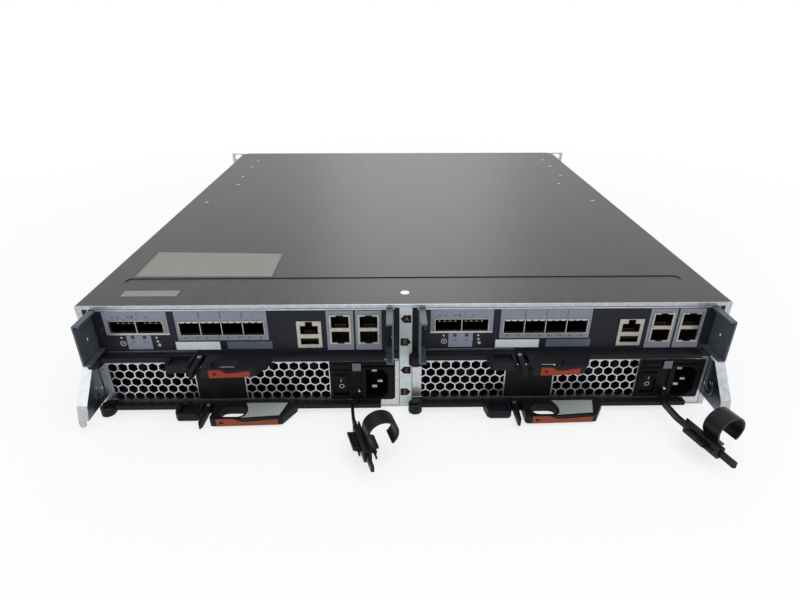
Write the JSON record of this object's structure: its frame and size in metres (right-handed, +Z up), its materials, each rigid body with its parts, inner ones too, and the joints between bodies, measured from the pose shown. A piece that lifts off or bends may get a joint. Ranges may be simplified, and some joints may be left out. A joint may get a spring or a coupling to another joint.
{
  "type": "disk shelf enclosure",
  "caption": "Two-unit rack storage enclosure with disk carriers in front, and twin controllers over twin power supplies behind.",
  "frame": {"origin": "centre of the body's bottom face, between its sides and half-way between its rear face and its front edge", "axes": "+Z up, +Y from the rear (controllers and power supplies) to the disk carriers at the front, +X to the right seen from the rear"},
  "size_m": [0.482, 0.5665, 0.0855],
  "materials": {
    "galvanised_steel": "zinc-plated sheet, satin",
    "post_paint": "pale satin paint",
    "circuit_board": "solder resist",
    "ear_steel": "bright zinc",
    "plate_steel": "bright zinc",
    "module_steel": "zinc-plated sheet",
    "face_paint": "dark blue-grey satin paint",
    "plated_cage": "nickel plate, satin",
    "bracket_steel": "dark satin zinc",
    "lever_plastic": "moulded, fine grain",
    "grille_steel": "punched bright sheet",
    "entry_plastic": "moulded, semi-gloss",
    "strap_nylon": "moulded nylon",
    "fan_plastic": "moulded",
    "carrier_plastic": "dark moulded bezel over a metal disk drive"
  },
  "bodies": {
    "chassis": {"chassis_tray": "galvanised_steel", "rear_cover": "galvanised_steel", "drive_cage": "galvanised_steel", "centre_post": "post_paint", "module_shelves": "galvanised_steel", "midplane_board": "circuit_board", "rack_ear_left": "ear_steel", "rack_ear_right": "ear_steel", "side_plate_left": "plate_steel", "side_plate_right": "plate_steel"},
    "controller_left": {"controller_left_case": "module_steel", "controller_left_face": "face_paint", "controller_left_port_cages": "plated_cage", "controller_left_jacks": "plated_cage", "controller_left_board": "circuit_board", "controller_left_brackets": "bracket_steel"},
    "controller_left_lever": {"controller_left_lever": "lever_plastic"},
    "controller_left_latch": {"controller_left_latch": "lever_plastic"},
    "controller_right": {"controller_right_case": "module_steel", "controller_right_face": "face_paint", "controller_right_port_cages": "plated_cage", "controller_right_jacks": "plated_cage", "controller_right_board": "circuit_board", "controller_right_brackets": "bracket_steel"},
    "controller_right_lever": {"controller_right_lever": "lever_plastic"},
    "controller_right_latch": {"controller_right_latch": "lever_plastic"},
    "supply_left": {"supply_left_case": "module_steel", "supply_left_grille": "grille_steel", "supply_left_power_entry": "entry_plastic", "supply_left_cord_strap": "strap_nylon", "supply_left_fan_frames": "fan_plastic"},
    "supply_left_lever": {"supply_left_lever": "lever_plastic"},
    "supply_left_latch": {"supply_left_latch": "lever_plastic"},
    "supply_left_rocker": {"supply_left_rocker": "entry_plastic"},
    "supply_left_rotor_outer": {"supply_left_rotor_outer": "fan_plastic"},
    "supply_left_rotor_inner": {"supply_left_rotor_inner": "fan_plastic"},
    "supply_left_cord_clip": {"supply_left_cord_clip": "strap_nylon"},
    "supply_right": {"supply_right_case": "module_steel", "supply_right_grille": "grille_steel", "supply_right_power_entry": "entry_plastic", "supply_right_cord_strap": "strap_nylon", "supply_right_fan_frames": "fan_plastic"},
    "supply_right_lever": {"supply_right_lever": "lever_plastic"},
    "supply_right_latch": {"supply_right_latch": "lever_plastic"},
    "supply_right_rocker": {"supply_right_rocker": "entry_plastic"},
    "supply_right_rotor_outer": {"supply_right_rotor_outer": "fan_plastic"},
    "supply_right_rotor_inner": {"supply_right_rotor_inner": "fan_plastic"},
    "supply_right_cord_clip": {"supply_right_cord_clip": "strap_nylon"},
    "disk_carrier_01": {"disk_carrier_01": "carrier_plastic"},
    "disk_carrier_02": {"disk_carrier_02": "carrier_plastic"},
    "disk_carrier_03": {"disk_carrier_03": "carrier_plastic"},
    "disk_carrier_04": {"disk_carrier_04": "carrier_plastic"},
    "disk_carrier_05": {"disk_carrier_05": "carrier_plastic"},
    "disk_carrier_06": {"disk_carrier_06": "carrier_plastic"},
    "disk_carrier_07": {"disk_carrier_07": "carrier_plastic"},
    "disk_carrier_08": {"disk_carrier_08": "carrier_plastic"},
    "disk_carrier_09": {"disk_carrier_09": "carrier_plastic"},
    "disk_carrier_10": {"disk_carrier_10": "carrier_plastic"},
    "disk_carrier_11": {"disk_carrier_11": "carrier_plastic"},
    "disk_carrier_12": {"disk_carrier_12": "carrier_plastic"}
  },
  "joints": [
    {"name": "controller_left_slide", "type": "slide", "parent": "chassis", "child": "controller_left", "axis": [0, -1, 0], "range_m": [0, 0.25]},
    {"name": "controller_left_lever_swing", "type": "hinge", "parent": "controller_left", "child": "controller_left_lever", "pos_m": [-0.2167, -0.2485, 0.0454], "axis": [0, 0, -1], "range_deg": [0, 75]},
    {"name": "controller_left_latch_squeeze", "type": "hinge", "parent": "controller_left_lever", "child": "controller_left_latch", "pos_m": [-0.14385, -0.2477, 0.0454], "axis": [0, 0, 1], "range_deg": [0, 5], "stiffness_Nm_per_rad": 0.05},
    {"name": "controller_right_slide", "type": "slide", "parent": "chassis", "child": "controller_right", "axis": [0, -1, 0], "range_m": [0, 0.25]},
    {"name": "controller_right_lever_swing", "type": "hinge", "parent": "controller_right", "child": "controller_right_lever", "pos_m": [0.007, -0.2485, 0.0454], "axis": [0, 0, -1], "range_deg": [0, 75]},
    {"name": "controller_right_latch_squeeze", "type": "hinge", "parent": "controller_right_lever", "child": "controller_right_latch", "pos_m": [0.07985, -0.2477, 0.0454], "axis": [0, 0, 1], "range_deg": [0, 5], "stiffness_Nm_per_rad": 0.05},
    {"name": "supply_left_slide", "type": "slide", "parent": "chassis", "child": "supply_left", "axis": [0, -1, 0], "range_m": [0, 0.25]},
    {"name": "supply_left_lever_swing", "type": "hinge", "parent": "supply_left", "child": "supply_left_lever", "pos_m": [-0.2167, -0.2485, 0.0044], "axis": [0, 0, -1], "range_deg": [0, 75]},
    {"name": "supply_left_latch_squeeze", "type": "hinge", "parent": "supply_left_lever", "child": "supply_left_latch", "pos_m": [-0.14385, -0.2477, 0.0044], "axis": [0, 0, 1], "range_deg": [0, 5], "stiffness_Nm_per_rad": 0.05},
    {"name": "supply_left_rocker_tilt", "type": "hinge", "parent": "supply_left", "child": "supply_left_rocker", "pos_m": [-0.04665, -0.2398, 0.0214], "axis": [-1, 0, 0], "range_deg": [0, 14]},
    {"name": "supply_left_rotor_outer_spin", "type": "hinge", "parent": "supply_left", "child": "supply_left_rotor_outer", "pos_m": [-0.17745, -0.222, 0.0206], "axis": [0, 1, 0], "continuous": true},
    {"name": "supply_left_rotor_inner_spin", "type": "hinge", "parent": "supply_left", "child": "supply_left_rotor_inner", "pos_m": [-0.08345, -0.222, 0.0206], "axis": [0, 1, 0], "continuous": true},
    {"name": "supply_left_cord_clip_slide", "type": "slide", "parent": "supply_left", "child": "supply_left_cord_clip", "axis": [0.299, -0.9542, 0], "range_m": [-0.008, 0.014]},
    {"name": "supply_right_slide", "type": "slide", "parent": "chassis", "child": "supply_right", "axis": [0, -1, 0], "range_m": [0, 0.25]},
    {"name": "supply_right_lever_swing", "type": "hinge", "parent": "supply_right", "child": "supply_right_lever", "pos_m": [0.007, -0.2485, 0.0044], "axis": [0, 0, -1], "range_deg": [0, 75]},
    {"name": "supply_right_latch_squeeze", "type": "hinge", "parent": "supply_right_lever", "child": "supply_right_latch", "pos_m": [0.07985, -0.2477, 0.0044], "axis": [0, 0, 1], "range_deg": [0, 5], "stiffness_Nm_per_rad": 0.05},
    {"name": "supply_right_rocker_tilt", "type": "hinge", "parent": "supply_right", "child": "supply_right_rocker", "pos_m": [0.17705, -0.2398, 0.0214], "axis": [-1, 0, 0], "range_deg": [0, 14]},
    {"name": "supply_right_rotor_outer_spin", "type": "hinge", "parent": "supply_right", "child": "supply_right_rotor_outer", "pos_m": [0.04625, -0.222, 0.0206], "axis": [0, 1, 0], "continuous": true},
    {"name": "supply_right_rotor_inner_spin", "type": "hinge", "parent": "supply_right", "child": "supply_right_rotor_inner", "pos_m": [0.14025, -0.222, 0.0206], "axis": [0, 1, 0], "continuous": true},
    {"name": "supply_right_cord_clip_slide", "type": "slide", "parent": "supply_right", "child": "supply_right_cord_clip", "axis": [0.299, -0.9542, 0], "range_m": [-0.008, 0.014]},
    {"name": "disk_carrier_01_slide", "type": "slide", "parent": "chassis", "child": "disk_carrier_01", "axis": [0, 1, 0], "range_m": [0, 0.16]},
    {"name": "disk_carrier_02_slide", "type": "slide", "parent": "chassis", "child": "disk_carrier_02", "axis": [0, 1, 0], "range_m": [0, 0.16]},
    {"name": "disk_carrier_03_slide", "type": "slide", "parent": "chassis", "child": "disk_carrier_03", "axis": [0, 1, 0], "range_m": [0, 0.16]},
    {"name": "disk_carrier_04_slide", "type": "slide", "parent": "chassis", "child": "disk_carrier_04", "axis": [0, 1, 0], "range_m": [0, 0.16]},
    {"name": "disk_carrier_05_slide", "type": "slide", "parent": "chassis", "child": "disk_carrier_05", "axis": [0, 1, 0], "range_m": [0, 0.16]},
    {"name": "disk_carrier_06_slide", "type": "slide", "parent": "chassis", "child": "disk_carrier_06", "axis": [0, 1, 0], "range_m": [0, 0.16]},
    {"name": "disk_carrier_07_slide", "type": "slide", "parent": "chassis", "child": "disk_carrier_07", "axis": [0, 1, 0], "range_m": [0, 0.16]},
    {"name": "disk_carrier_08_slide", "type": "slide", "parent": "chassis", "child": "disk_carrier_08", "axis": [0, 1, 0], "range_m": [0, 0.16]},
    {"name": "disk_carrier_09_slide", "type": "slide", "parent": "chassis", "child": "disk_carrier_09", "axis": [0, 1, 0], "range_m": [0, 0.16]},
    {"name": "disk_carrier_10_slide", "type": "slide", "parent": "chassis", "child": "disk_carrier_10", "axis": [0, 1, 0], "range_m": [0, 0.16]},
    {"name": "disk_carrier_11_slide", "type": "slide", "parent": "chassis", "child": "disk_carrier_11", "axis": [0, 1, 0], "range_m": [0, 0.16]},
    {"name": "disk_carrier_12_slide", "type": "slide", "parent": "chassis", "child": "disk_carrier_12", "axis": [0, 1, 0], "range_m": [0, 0.16]}
  ]
}
